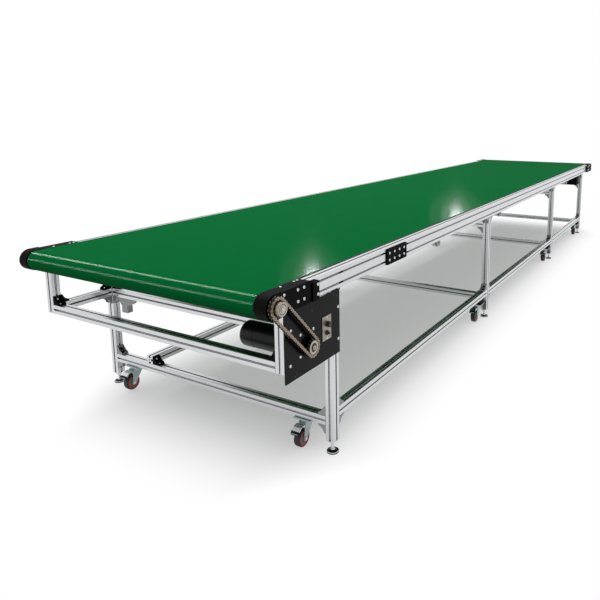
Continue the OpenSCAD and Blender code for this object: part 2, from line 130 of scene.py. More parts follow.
def spread(tree, shader, pattern, tones=None, roughness=None, bump=None):
    """Lets a pattern vary a finish's tone, roughness and height (bump in millimetres)."""
    if tones:
        mix = add(tree, "ShaderNodeMixRGB", {"Fac": pattern, "Color1": colour(tones[0]),
                                             "Color2": colour(tones[1])})
        tree.links.new(mix.outputs["Color"], shader.inputs["Base Color"])
    if roughness:
        level = add(tree, "ShaderNodeMapRange", {"Value": pattern, "From Min": 0.3, "From Max": 0.7,
                                                 "To Min": roughness[0], "To Max": roughness[1]})
        tree.links.new(level.outputs["Result"], shader.inputs["Roughness"])
    if bump:
        height = add(tree, "ShaderNodeBump", {"Height": pattern, "Strength": 1.0, "Distance": bump * MM})
        for name in ("Normal", "Coat Normal"):
            tree.links.new(height.outputs["Normal"], shader.inputs[name])


def painted_crevice_shade(tree, shader, dark, reach=11, start=0.25, end=0.85):
    """Darkens a finish in its slots and tight corners, by how closed in they are: painted shade."""
    before = shader.inputs["Base Color"].links[0].from_socket
    # ambient occlusion sets where the painted shade falls
    closed = add(tree, "ShaderNodeAmbientOcclusion", {"Distance": reach * MM}, samples=6)
    level = add(tree, "ShaderNodeMapRange", {"Value": closed.outputs["AO"], "From Min": start,
                                             "From Max": end}, interpolation_type="SMOOTHSTEP")
    mix = add(tree, "ShaderNodeMixRGB", {"Fac": level.outputs["Result"], "Color1": colour(dark),
                                         "Color2": before})
    tree.links.new(mix.outputs["Color"], shader.inputs["Base Color"])


def anodised_aluminium(run):
    """Extruded and satin anodised: fine draw lines along the bar, soft broad reflections.

    The real lines are some 0.2 mm apart; they are drawn 1.5 mm wide so that they show.
    """
    material, tree, shader = finish_of("anodised_aluminium_" + run.lower(), metallic=1.0)
    lines = grain(tree, [420 if axis == run else 1.5 for axis in "XYZ"])
    spread(tree, shader, lines, ("#CFD0D2", "#D6D7D9"), (0.2, 0.28), 0.004)
    # darker in the slots and where bars meet: painted shade
    painted_crevice_shade(tree, shader, "#1C1D1F")
    return material


def black_anodised(name, tones, sheen):
    """Machined plate and blocks, black anodised: near black with a fine dull sheen."""
    material, tree, shader = finish_of(name, metallic=0.0, specular_ior_level=0.0, coat_weight=sheen,
                                       coat_roughness=0.26)
    spread(tree, shader, grain(tree, (0.8, 0.8, 0.8)), tones, (0.24, 0.32), 0.006)
    return material


def die_cast_grey():
    """Die-cast zinc with a shot-blasted skin: even light grey with a fine grain."""
    material, tree, shader = finish_of("shot_blasted_die_casting", metallic=0.55)
    spread(tree, shader, grain(tree, (1.2, 1.2, 1.2)), ("#97999A", "#ABADAE"), (0.42, 0.56), 0.03)
    return material


def bright_zinc(name, tones, roughness):
    """Steel with a bright zinc plating, faintly blue, with a little cloudiness."""
    material, tree, shader = finish_of(name, metallic=1.0)
    spread(tree, shader, grain(tree, (9, 9, 9), 3.0), tones, roughness, 0.01)
    return material


def galvanised_sheet():
    """Hot-dip galvanised steel: spangle patches of about 8 mm in two greys."""
    material, tree, shader = finish_of("galvanised_sheet", metallic=1.0)
    place = add(tree, "ShaderNodeTexCoord").outputs["Object"]
    cells = add(tree, "ShaderNodeTexVoronoi", {"Vector": place, "Scale": 1 / (8 * MM)})
    tone = add(tree, "ShaderNodeSeparateColor", {"Color": cells.outputs["Color"]})
    spread(tree, shader, tone.outputs["Red"], ("#A4A8AA", "#BEC1C3"), (0.32, 0.48))
    return material


def green_belt():
    """PVC-coated belt with a smooth glossy face: clear soft glints, faint waves from its cloth."""
    material, tree, shader = finish_of("glossy_green_pvc", metallic=0.0, specular_ior_level=0.0,
                                       coat_weight=0.02, coat_roughness=0.1)
    spread(tree, shader, grain(tree, (160, 60, 60), 3.0), ("#006C33", "#007138"))
    spread(tree, shader, grain(tree, (3.5, 3.5, 3.5), 1.0), None, (0.46, 0.54))
    spread(tree, shader, grain(tree, (60, 20, 20), 1.0), None, None, 0.01)
    return material


def belt_cloth():
    """Woven polyester inside of the belt: pale grey-green threads 1 mm apart, drawn 3 mm."""
    material, tree, shader = finish_of("woven_polyester", roughness=0.85, specular_ior_level=0.2)
    place = add(tree, "ShaderNodeTexCoord").outputs["Object"]
    weave = add(tree, "ShaderNodeTexChecker", {"Vector": place, "Scale": 1 / (3 * MM)})
    spread(tree, shader, weave.outputs["Fac"], ("#7F8F84", "#95A398"), None, 0.15)
    return material


def chain_steel(name, tones):
    """Oiled chain steel, browned and greasy: dark warm metal, shiny where it rubs, with painted shade darkening
    its gaps.
    """
    material, tree, shader = finish_of(name, metallic=1.0)
    spread(tree, shader, grain(tree, (5, 5, 5), 3.0), tones, (0.26, 0.46), 0.03)
    # darker in the gaps between links and plates: painted shade
    painted_crevice_shade(tree, shader, "#0E0C0A", 6)
    return material


def black_paint():
    """Motor housing: semi-gloss black enamel over a casting."""
    material, tree, shader = finish_of("semi_gloss_black_enamel", metallic=0.0, specular_ior_level=0.2,
                                       coat_weight=0.08, coat_roughness=0.15)
    spread(tree, shader, grain(tree, (2.5, 2.5, 2.5)), ("#0A0A0C", "#0F0F11"), (0.3, 0.4), 0.03)
    return material


def brushed_steel():
    """Brushed stainless switch plate, warm grey, with lines drawn 0.8 mm wide."""
    material, tree, shader = finish_of("brushed_stainless", metallic=0.8)
    spread(tree, shader, grain(tree, (60, 60, 0.8)), ("#8F877C", "#B0A89C"), (0.3, 0.45), 0.01)
    return material


def moulded(name, tones, roughness, size=1.5, bump=0.02):
    """Moulded plastic or rubber with a fine even grain."""
    material, tree, shader = finish_of(name, metallic=0.0)
    spread(tree, shader, grain(tree, (size, size, size)), tones, roughness, bump)
    return material


ALU_X, ALU_Y, ALU_Z = (anodised_aluminium(run) for run in "XYZ")
BLACK = black_anodised("black_anodised_block", ("#060607", "#0A0A0B"), 0.12)
BLACK_PLATE = black_anodised("black_anodised_plate", ("#0A0A0B", "#0E0E10"), 0.3)
CAST = die_cast_grey()
ZINC = bright_zinc("bright_zinc_plating", ("#C3C9CC", "#D9DDDF"), (0.16, 0.3))
FORK_ZINC = bright_zinc("blue_zinc_plating", ("#8FA0A1", "#B7C4C4"), (0.18, 0.34))
SHEET = galvanised_sheet()
GREEN = green_belt()
CLOTH = belt_cloth()
CHAIN = chain_steel("oiled_dark_steel", ("#332C26", "#4F463D"))
# A lighter copy of the chain steel for the outer plates and pin ends: painted highlight.
CHAIN_PAINTED_LIT = chain_steel("oiled_steel_painted_highlight", ("#85796C", "#B4A898"))
ENAMEL = black_paint()
BRUSHED = brushed_steel()
HUB_STEEL = bright_zinc("turned_steel", ("#A39C92", "#BDB6AB"), (0.2, 0.36))
BLACK_ABS = moulded("black_moulded_abs", ("#08080A", "#101012"), (0.3, 0.42))
BLACK_OXIDE = bright_zinc("black_oxide_steel", ("#17171A", "#242427"), (0.3, 0.42))
RUBBER = moulded("black_rubber", ("#0C0C0D", "#161617"), (0.62, 0.8), 2.0, 0.05)
TYRE = moulded("brown_black_tyre_rubber", ("#171413", "#241E1B"), (0.5, 0.68), 2.0, 0.04)
RED = moulded("red_polyurethane", ("#D81A0A", "#E62812"), (0.3, 0.4))
HUB_GREY = moulded("grey_nylon", ("#6F8080", "#869696"), (0.4, 0.52))
COVER = moulded("grey_pvc_strip", ("#9B9D9E", "#A8AAAB"), (0.42, 0.52))

DRESS = {
    "rail_right": ALU_X, "rail_left": ALU_X, "low_bars_right": ALU_X, "low_bars_left": ALU_X,
    "legs_right": ALU_Z, "legs_left": ALU_Z, "drive_posts": ALU_Z,
    "low_cross_bars": ALU_Y, "high_cross_bars": ALU_Y, "drive_subframe": ALU_Y, "bed_ties": ALU_Y,
    "bed": SHEET, "drive_roller": ZINC, "idle_roller": ZINC, "return_rollers": ZINC,
    "return_brackets": CAST, "drive_brackets": BLACK, "idle_brackets": BLACK, "join_plates": BLACK,
    "motor_plate": BLACK_PLATE, "switch_plate": BRUSHED, "start_switch": BLACK_ABS, "gear_motor": ENAMEL,
    "motor_sprocket": CHAIN, "roller_sprocket": CHAIN, "drive_chain": CHAIN, "splice_plates": BLACK,
    "cast_corners": CAST, "black_corners": BLACK, "cable_tray": BLACK, "sensor_box": CAST,
    "foot_studs": ZINC, "foot_pads": RUBBER, "castor_plates": FORK_ZINC, "castor_blocks": BLACK,
}
for row in ("r", "l"):
    for number in range(1, 5):
        DRESS[f"fork_{row}{number}"] = FORK_ZINC
        DRESS[f"wheel_{row}{number}"] = TYRE
for node_name, finish in DRESS.items():
    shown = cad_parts[node_name]
    if not shown.material_slots:
        shown.data.materials.append(finish)
    for place_for in shown.material_slots:
        place_for.material = finish


def ease_edges(node_name, width):
    """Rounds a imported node's sharp edges so that they catch the light."""
    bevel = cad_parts[node_name].modifiers.new("eased_edges", "BEVEL")
    bevel.width = width * MM
    bevel.segments = 2
    bevel.limit_method = "ANGLE"
    bevel.angle_limit = math.radians(40)


# ------------------------------------------------------------ mesh tools
def facing(at, out=(0, 0, 1), turn=0.0):
    """Matrix in millimetres that stands a piece at a point with its own Z pointing out."""
    tilt = Vector(out).normalized().to_track_quat("Z", "Y").to_matrix().to_4x4()
    return (Matrix.Translation(Vector(at) * MM) @ tilt
            @ Matrix.Rotation(math.radians(turn), 4, "Z") @ Matrix.Scale(MM, 4))


def turn_piece(mesh, place, profile, steps=24, finish=0):
    """Adds a turned form. Each profile row is radius and height, and 6 makes its ring hexagonal."""
    rings = []
    for radius, height, *six in profile:
        if radius == 0:
            rings.append([mesh.verts.new(place @ Vector((0, 0, height)))])
            continue
        ring = []
        for k in range(steps):
            a = 2 * math.pi * k / steps
            reach = radius / math.cos(a % (math.pi / 3) - math.pi / 6) if six else radius
            ring.append(mesh.verts.new(place @ Vector((reach * math.cos(a), reach * math.sin(a), height))))
        rings.append(ring)
    for low, high in zip(rings, rings[1:]):
        for k in range(steps):
            corners = (low[k % len(low)], low[(k + 1) % len(low)],
                       high[(k + 1) % len(high)], high[k % len(high)])
            face = mesh.faces.new(list(dict.fromkeys(corners)))
            face.material_index = finish


def flat_piece(mesh, place, outline, low, high, finish=0):
    """Adds a flat plate with this outline, from one height to another."""
    bottom = [mesh.verts.new(place @ Vector((x, y, low))) for x, y in outline]
    top = [mesh.verts.new(place @ Vector((x, y, high))) for x, y in outline]
    faces = [mesh.faces.new(bottom[::-1]), mesh.faces.new(top)]
    for k in range(len(outline)):
        n = (k + 1) % len(outline)
        faces.append(mesh.faces.new((bottom[k], bottom[n], top[n], top[k])))
    for face in faces:
        face.material_index = finish


def rounded(x0, x1, y0, y1, radius, steps=5):
    """Outline of a rectangle with round corners."""
    points = []
    for cx, cy, start in ((x1 - radius, y0 + radius, -90), (x1 - radius, y1 - radius, 0),
                          (x0 + radius, y1 - radius, 90), (x0 + radius, y0 + radius, 180)):
        for k in range(steps + 1):
            a = math.radians(start + 90 * k / steps)
            points.append((cx + radius * math.cos(a), cy + radius * math.sin(a)))
    return points


def make(name, mesh, finishes, body="frame", ease=0.0, replaces=()):
    """Turns the built mesh into a piece that rides on a body of the model."""
    bmesh.ops.recalc_face_normals(mesh, faces=mesh.faces)
    data = bpy.data.meshes.new(name)
    for face in mesh.faces:
        face.smooth = True
    mesh.to_mesh(data)
    mesh.free()
    data.set_sharp_from_angle(angle=math.radians(32))
    for finish in finishes:
        data.materials.append(finish)
    piece = bpy.data.objects.new(name, data)
    bpy.context.scene.collection.objects.link(piece)
    if ease:
        bevel = piece.modifiers.new("eased_edges", "BEVEL")
        bevel.width = ease * MM
        bevel.segments = 2
        bevel.limit_method = "ANGLE"
        bevel.angle_limit = math.radians(40)
    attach(piece, body)
    if replaces:
        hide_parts(*replaces)
    return piece


# ----------------------------------------------------------- fasteners
BUTTON_HEAD = [(0, -0.3), (6.8, -0.3), (6.8, 0.9), (6.1, 2.5), (4.8, 3.7), (3.6, 4.1),
               (2.6, 4.1, 6), (2.6, 1.6, 6), (0, 1.4)]
CAP_HEAD = [(0, -0.3), (6.5, -0.3), (6.5, 7.4), (6.1, 8.0), (3.9, 8.0), (2.9, 8.0, 6), (2.9, 4.2, 6),
            (0, 4.0)]
HEX_HEAD = [(0, -0.3), (6.5, -0.3, 6), (6.5, 4.6, 6), (6.0, 5.2), (0, 5.3)]
COUNTERSUNK = [(7.4, -0.4), (7.4, 0.0), (6.6, 0.04), (3.4, 0.04), (3.2, 0.02, 6), (2.8, 0.01, 6), (0, 0.01)]


def screws(mesh, spots, profile, scale=1.0, steps=18, finish=0):
    """Adds a screw head at each spot, given as its place and the way it points."""
    sized = [(row[0] * scale, row[1] * scale, *row[2:]) for row in profile]
    for at, out in spots:
        turn_piece(mesh, facing(at, out), sized, steps, finish)


# Screw places along X, from a roller's axis or a plate's start, and up.
SIDE_SCREWS_X, SIDE_SCREWS_Z, NOSE_SCREW = (126, 162), (748, 706), (50, 749)
JOIN_SCREWS_X, JOIN_SCREWS_Z = 238, (740, 703)
COVER_SCREWS_X, COVER_IN, COVER_TOP = (86, 162, 181), 13, 762
SPLICE_START, SPLICE_SCREWS_X, SPLICE_SCREWS_Z = LEG_X[0] + 415, (22, 70, 118, 166), (734, 702)


def bracket_screws():
    """Screws of the end brackets, join plates and splice plates on both sides of both ends.

    The left join plates are the widest part of the conveyor, so their screws lie flush.
    """
    mesh = bmesh.new()
    side, top, splice, flush = [], [], [], []
    for y, out in ((RIGHT_Y, -1), (LEFT_Y, 1)):
        outward = (0, out, 0)
        face = y + out * BRACKET_FACE
        for end, sign in ((DRIVE_X, 1), (IDLE_X, -1)):
            for dx in SIDE_SCREWS_X:
                for z in SIDE_SCREWS_Z:
                    side.append(((end + sign * dx, face, z), outward))
            side.append(((end + sign * NOSE_SCREW[0], face, NOSE_SCREW[1]), outward))
            for z in JOIN_SCREWS_Z:
                keep = side if out < 0 else flush
                keep.append(((end + sign * JOIN_SCREWS_X, y + out * JOIN_FACE, z), outward))
            for dx in COVER_SCREWS_X:
                top.append(((end + sign * dx, y - out * COVER_IN, COVER_TOP), (0, 0, 1)))
        for dx in SPLICE_SCREWS_X:
            for z in SPLICE_SCREWS_Z:
                splice.append(((SPLICE_START + dx, y + out * SPLICE_FACE, z), outward))
    screws(mesh, side, BUTTON_HEAD, 0.95)
    screws(mesh, top, BUTTON_HEAD, 0.7)
    screws(mesh, flush, COUNTERSUNK, 0.95)
    screws(mesh, splice, BUTTON_HEAD, 0.95)
    make("plate_screws", mesh, [ZINC])


# Places on the motor plate, X and height.
PLATE_SCREWS = ((-2889, 612), (-2834, 579), (-2757, 577), (-2836, 499), (-2895, 486), (-2591, 612),
                (-2591, 483))
PLATE_HOLES = ((-2622, 667), (-2600, 658), (-2762, 646), (-2627, 432), (-2857, 443), (-2868, 437))


def motor_plate_screws():
    """Screws of the motor plate, and dark discs on its face that stand for its empty tapped holes as painted
    shade.
    """
    mesh = bmesh.new()
    face = RIGHT_Y - MOTOR_PLATE_FACE
    screws(mesh, [((x, face, z), (0, -1, 0)) for x, z in PLATE_SCREWS], BUTTON_HEAD, 0.95)
    make("motor_plate_screws", mesh, [ZINC])
    # dark discs standing a fraction proud of the plate: painted shade of the empty holes
    holes = bmesh.new()
    for x, z in PLATE_HOLES:
        turn_piece(holes, facing((x, face, z), (0, -1, 0)), [(3.4, 0.35), (3.1, 0.1), (0, 0.05)], 16)
    make("motor_plate_hole_shade", holes, [BLACK_ABS])


# A corner bracket's screw: along its leg from the corner, and the wall that it sits on.
CORNER_REACH, CORNER_WALL = 23, 4


def corner_screws():
    """Two screws in each corner bracket, bright below the bars and black above them."""
    bright, dark = [], []

    def corner(x, y, z, turn, up, keep):
        a = math.radians(turn)
        along = Vector((math.cos(a), math.sin(a), 0))
        foot = Vector((x, y, z))
        keep.append((foot + along * CORNER_REACH + Vector((0, 0, CORNER_WALL * up)), (0, 0, up)))
        keep.append((foot + along * CORNER_WALL + Vector((0, 0, CORNER_REACH * up)), tuple(along)))

    for y, s in ((RIGHT_Y, -1), (LEFT_Y, 1)):
        inner = y - s * BAR / 2
        for i, x in enumerate(LEG_X):
            for k in (-1, 1):
                turn = 0 if k > 0 else 180
                if i > 0 or (k > 0 and s > 0):
                    corner(x + k * BAR / 2, y, RAIL_BOTTOM, turn, -1, bright)
                if s < 0 and 0 <= i + k <= 3:
                    corner(x + k * BAR / 2, y, LOW_LONG + BAR, turn, 1, dark)
                    corner(x + k * BAR / 2, y, LOW_LONG, turn, -1, bright)
                level = LOW_CROSS + BAR if k > 0 else LOW_CROSS
                corner(x, inner, level, -s * 90, k, dark if k > 0 else bright)
            if i > 0:
                corner(x, inner, HIGH_CROSS[i], -s * 90, -1, bright)
        corner(LEG_X[0], inner, SUB_BAR, -s * 90, -1, bright)
        corner(POST_X, inner, SUB_BAR + BAR, -s * 90, 1, bright)
        corner(LEG_X[0], inner, SUB_BAR + BAR, -s * 90, 1, bright)
    for x in LEG_X:
        corner(x, LONG_BAR_Y - BAR / 2, LOW_CROSS + BAR, -90, 1, bright)
    corner(LEG_X[0] - BAR / 2, LEFT_Y, SUB_BAR, 180, -1, bright)
    corner(POST_X + BAR / 2, LEFT_Y, SUB_BAR + BAR, 0, 1, bright)
    corner(LEG_X[0] - BAR / 2, LEFT_Y, SUB_BAR + BAR, 180, 1, bright)
    corner(POST_X + BAR / 2, LEFT_Y, RAIL_BOTTOM, 0, -1, bright)
    mesh = bmesh.new()
    screws(mesh, bright, BUTTON_HEAD, 0.9, 12)
    screws(mesh, dark, CAP_HEAD, 0.9, 12, 1)
    make("corner_screws", mesh, [ZINC, BLACK_OXIDE])


# ------------------------------------------------------------------ belt
def make_belt():
    """The belt's closed loop: glossy face, cloth inside, and eased edges."""
    mesh = bmesh.new()
    steps = 48
    around = []
    for x, start in ((DRIVE_X, 90), (IDLE_X, 270)):
        for k in range(steps + 1):
            a = math.radians(start + 180 * k / steps)
            around.append((x, math.cos(a), math.sin(a)))
    # radius and half width at each corner of the belt's section
    section = [(ROLLER_R + BELT_T, BELT_HALF - 1), (ROLLER_R + BELT_T - 1, BELT_HALF),
               (ROLLER_R + 0.1, BELT_HALF), (ROLLER_R + 0.1, -BELT_HALF),
               (ROLLER_R + BELT_T - 1, -BELT_HALF), (ROLLER_R + BELT_T, -BELT_HALF + 1)]
    rows = []
    for x, c, s in around:
        rows.append([mesh.verts.new(Vector((x + r * c, MID_Y + y, ROLLER_Z + r * s)) * MM)
                     for r, y in section])
    for i in range(len(rows)):
        near, far = rows[i], rows[(i + 1) % len(rows)]
        for k in range(len(section)):
            n = (k + 1) % len(section)
            face = mesh.faces.new((near[k], near[n], far[n], far[k]))
            face.material_index = 1 if k in (1, 2, 3) else 0
    return make("coated_belt", mesh, [GREEN, CLOTH], replaces=["belt"])


# ----------------------------------------------------------- chain drive
PITCH, TOP_TEETH, LOW_TEETH, LINKS = 12.7, 17, 16, 60
MOTOR_X = POST_X + 115
TOP_R = PITCH / 2 / math.sin(math.pi / TOP_TEETH)
LOW_R = PITCH / 2 / math.sin(math.pi / LOW_TEETH)


def chain_pins():
    """Pin places round the two sprockets, in X and Z, as the model's own chain has them."""
    top_arc, low_arc = TOP_TEETH * PITCH / 2 / math.pi, LOW_TEETH * PITCH / 2 / math.pi
    rough = (LINKS * PITCH - math.pi * (top_arc + low_arc)) / 2
    tilt = math.asin((TOP_R - LOW_R) / rough)
    wound = (math.pi + 2 * tilt) * top_arc + (math.pi - 2 * tilt) * low_arc
    centre = (LINKS * PITCH - wound) / 2 / math.cos(tilt)
    motor_z = ROLLER_Z - math.sqrt(centre ** 2 - (MOTOR_X - DRIVE_X) ** 2)
    slope = math.atan2(motor_z - ROLLER_Z, MOTOR_X - DRIVE_X)
    run = centre * math.cos(tilt) / PITCH
    wrap = (math.pi - 2 * tilt) / (2 * math.pi) * LOW_TEETH

    def straight(along, side):
        """Point on a straight run, this far from the low sprocket."""
        return (centre + LOW_R * math.sin(tilt) - along * math.cos(tilt),
                side * (LOW_R * math.cos(tilt) + along * math.sin(tilt)))

    pins = []
    for n in range(LINKS):
        if n < wrap:
            a = math.pi / 2 - tilt - n * 2 * math.pi / LOW_TEETH
            p = (centre + LOW_R * math.cos(a), LOW_R * math.sin(a))
        elif n < wrap + run:
            p = straight((n - wrap) * PITCH, -1)
        elif n < LINKS - run:
            a = -math.pi / 2 + tilt - (n - wrap - run) * 2 * math.pi / TOP_TEETH
            p = (TOP_R * math.cos(a), TOP_R * math.sin(a))
        else:
            p = straight((LINKS - n) * PITCH, 1)
        pins.append((DRIVE_X + p[0] * math.cos(slope) - p[1] * math.sin(slope),
                     ROLLER_Z + p[0] * math.sin(slope) + p[1] * math.cos(slope)))
    return pins, motor_z


PINS, MOTOR_Z = chain_pins()


PLATE_END_R, PLATE_WAIST = 6.1, 2.7
ROLLER_PROFILE = [(0, -3.9), (3.95, -3.9), (3.95, 3.9), (0, 3.9)]
PIN_PROFILE = [(0, -8.2), (1.5, -8.2), (2.0, -7.8), (2.0, 7.8), (1.5, 8.2), (0, 8.2)]


def link_outline():
    """Waisted side plate of a chain link, with round ends."""
    points = []
    for cx, start, side in ((0, 90, -1), (PITCH, -90, 1)):
        for k in range(9):
            a = math.radians(start + 180 * k / 8)
            points.append((cx + PLATE_END_R * math.cos(a), PLATE_END_R * math.sin(a)))
        points.append((PITCH / 2 + side * 2, side * PLATE_WAIST))
        points.append((PITCH / 2 - side * 2, side * PLATE_WAIST))
    return points


def make_chain():
    """Roller chain: side plates, rollers and riveted pin ends; the outer plates and pin ends take a lighter
    copy of the chain steel as a painted highlight, the inner plates and rollers the dark steel.
    """
    mesh = bmesh.new()
    outline = link_outline()
    for i, (x, z) in enumerate(PINS):
        nx, nz = PINS[(i + 1) % LINKS]
        angle = math.atan2(nz - z, nx - x)
        # local X along the link, local Y across it, local Z towards +Y or -Y
        across = Matrix(((math.cos(angle), math.sin(angle), 0, 0), (0, 0, -1, 0),
                         (math.sin(angle), -math.cos(angle), 0, 0), (0, 0, 0, 1)))
        place = Matrix.Translation(Vector((x, CHAIN_Y, z)) * MM) @ across @ Matrix.Scale(MM, 4)
        for k in (-1, 1):
            # outer plates take the lighter copy of the chain steel, a painted highlight; inner plates the dark
            # steel
            middle = k * (6.0 if i % 2 == 0 else 4.7)
            flat_piece(mesh, place, outline, middle - 0.65, middle + 0.65, 0 if i % 2 == 0 else 1)
        axle = facing((x, CHAIN_Y, z), (0, 1, 0))
        turn_piece(mesh, axle, ROLLER_PROFILE, 16, 1)
        turn_piece(mesh, axle, PIN_PROFILE, 12)
    make("roller_chain", mesh, [CHAIN_PAINTED_LIT, CHAIN], replaces=["drive_chain"])


def sprocket_hubs():
    """Turned faces, shaft ends and centre holes of the two sprockets."""
    mesh = bmesh.new()
    out = (0, -1, 0)
    hub, boss = TOP_R - 9.5, LOW_R - 6.6
    top_face = [(hub + 0.15, -16), (hub + 0.15, -1.2), (hub - 1, 0.3), (19, 0.3), (18, -0.6), (16.5, -0.6),
                (15.5, 0.4), (10.6, 0.4), (10.2, -0.4), (10.15, 2), (9.4, 3.1), (3.4, 3.1), (2.6, 1.8), (0, -1)]
    low_face = [(boss + 0.15, -2), (boss + 0.15, -0.6), (boss - 1, 0.3), (17, 0.3), (16, -0.8), (9, -0.8),
                (8.2, 0), (8.15, 2.5), (7.4, 3.2), (2.6, 3.2), (2, 2), (0, 0)]
    turn_piece(mesh, facing((DRIVE_X, CHAIN_Y - 22, ROLLER_Z), out), top_face, 48)
    turn_piece(mesh, facing((MOTOR_X, CHAIN_Y - 7, MOTOR_Z), out), low_face, 40)
    make("sprocket_hubs", mesh, [HUB_STEEL])


def make_motor():
    """Gear head with its flange, round motor can, ring groove, end cap and cable pin."""
    mesh = bmesh.new()
    back = RIGHT_Y - BAR / 2
    along = (0, 1, 0)
    middle = (MOTOR_X, back, MOTOR_Z)
    cap_at, screw_circle = 284, 36
    can = [(47, 58), (47, 66), (49.2, 68), (50, 70), (50, 214), (49.2, 215), (48.4, 215.4), (48.4, 218.6),
           (49.2, 219), (50, 220), (50, 268), (49, 275), (46.5, 280), (42, cap_at), (0, 285)]
    shaft = [(0, 0), (7.4, 0), (8, 0.8), (8, 34)]
    cable_pin = [(0, 0), (4.5, 0), (4.5, 4), (3, 5), (3, 9), (2.5, 10), (0, 10)]
    flat_piece(mesh, facing(middle, along), rounded(-46, 46, -46, 46, 8), 0.2, 60)
    turn_piece(mesh, facing(middle, along), can, 72)
    turn_piece(mesh, facing((MOTOR_X, CHAIN_Y - 10, MOTOR_Z), along), shaft, 32)
    spots = [(MOTOR_X + screw_circle * math.cos(a), back + cap_at, MOTOR_Z + screw_circle * math.sin(a))
             for a in (0.8, 2.4, 3.9, 5.5)]
    screws(mesh, [(spot, along) for spot in spots], BUTTON_HEAD, 0.6, 12)
    turn_piece(mesh, facing((MOTOR_X - 10, back + cap_at, MOTOR_Z - 14), along), cable_pin, 16)
    make("motor_housing", mesh, [ENAMEL], ease=1.2, replaces=["gear_motor"])


def switch_parts():
    """Screws, round start button and key switch on the brushed switch plate."""
    mesh = bmesh.new()
    out = (0, -1, 0)
    x, y = LEG_X[0] - 71, RIGHT_Y - 28
    button = [(11, -1), (11, 0), (10, 1), (8.6, 0.6), (8.2, -0.8), (0, -1)]
    key_switch = [(0, 0), (10, 0), (10, 3), (9, 4), (6, 4), (5, 7), (3.4, 13), (2, 14), (0, 14)]
    screws(mesh, [((x, y, MOTOR_Z + dz), out) for dz in (-7, 73)], BUTTON_HEAD, 0.7, 16, 1)
    turn_piece(mesh, facing((x + 4, y - 14, MOTOR_Z + 47), out), button, 32)
    turn_piece(mesh, facing((x, y, MOTOR_Z + 14), out), key_switch, 24)
    make("switch_toggle", mesh, [BLACK_ABS, ZINC])


# --------------------------------------------------------------- castors
# Half of the wheel's section: radius, out from its middle, and which finish starts there.
WHEEL_SIDE = [(6.2, 15.8, 3), (7.5, 15.8, 3), (8.5, 14.2, 2), (12.5, 13.6, 2), (14, 10.2, 2), (20.0, 9.6, 2),
              (21.6, 11.6, 2), (22.6, 14.4, 2), (23.2, 14.9, 1), (30.0, 14.9, 1), (30.6, 15.2, 0),
              (33.0, 15.0, 0), (35.8, 13.2, 0), (37.1, 10.0, 0), (WHEEL_R, 5.5, 0)]


def wheel_form(x, y, name, body, node_name):
    """Rubber tyre on a red ring and a grey hub with a dished web and bearing caps."""
    mesh = bmesh.new()
    rows = WHEEL_SIDE + [(r, -h, f) for r, h, f in WHEEL_SIDE[::-1]]
    place = facing((x, y, WHEEL_Z), (0, 1, 0))
    for a, b in zip(rows, rows[1:]):
        turn_piece(mesh, place, [a[:2], b[:2]], 64, min(a[2], b[2]))
    turn_piece(mesh, place, [rows[-1][:2], rows[0][:2]], 64, 3)
    bmesh.ops.remove_doubles(mesh, verts=mesh.verts, dist=1e-6)
    make(name, mesh, [TYRE, RED, HUB_GREY, ZINC], body, replaces=[node_name])


# turns a side view's X and height into X and Z
SIDEWAYS = Matrix(((1, 0, 0, 0), (0, 0, -1, 0), (0, 1, 0, 0), (0, 0, 0, 1)))
PEDAL_TOP = [(-34, 101.5), (-58, 97.5), (-72, 84), (-70.5, 81), (-57, 94), (-34, 98.5)]
PEDAL_LIP = [(-70, 86), (-73, 86), (-77, 76), (-77, 70), (-74, 70), (-73, 76)]
FORK_HALF = 20
AXLE_NUT = [(0, 0), (6.8, 0, 6), (6.8, 4.5, 6), (6.2, 5), (4, 5), (4, 6.4), (0, 6.6)]
CASTOR_SCREWS = [(j * 21, k * 34) for j in (-1, 1) for k in (-1, 1)]


def castor_place(row, number):
    """Swivel axis of a castor; on the right, all but the first hang under the long bar."""
    x = LEG_X[number - 1]
    if row == "r":
        return (x, RIGHT_Y + CASTOR_IN) if number == 1 else (x - CASTOR_BACK, RIGHT_Y + BAR / 2)
    return x, LEFT_Y - CASTOR_IN


def castor_parts():
    """Wheels, axle nuts and pedal plates of the castors, and the screws of their top plates."""
    fixed = bmesh.new()
    for row in ("r", "l"):
        for number in range(1, 5):
            x, y = castor_place(row, number)
            tag = f"{row}{number}"
            wheel_form(x - TRAIL, y, "castor_wheel_" + tag, "castor_" + tag, "wheel_" + tag)
            fork = bmesh.new()
            for k in (-1, 1):
                turn_piece(fork, facing((x - TRAIL, y + k * FORK_HALF, WHEEL_Z), (0, k, 0)), AXLE_NUT, 18)
            place = Matrix.Translation(Vector((x, y, 0)) * MM) @ SIDEWAYS @ Matrix.Scale(MM, 4)
            flat_piece(fork, place, PEDAL_TOP, -19, 19)
            flat_piece(fork, place, PEDAL_LIP, -FORK_HALF, FORK_HALF, 1)
            make("axle_nuts_" + tag, fork, [ZINC, BLACK_OXIDE], "swivel_" + tag, ease=0.5)
            screws(fixed, [((x + dx, y + dy, PLATE_Z), (0, 0, -1)) for dx, dy in CASTOR_SCREWS],
                   HEX_HEAD, 0.8, 18)
    make("castor_plate_screws", fixed, [ZINC])


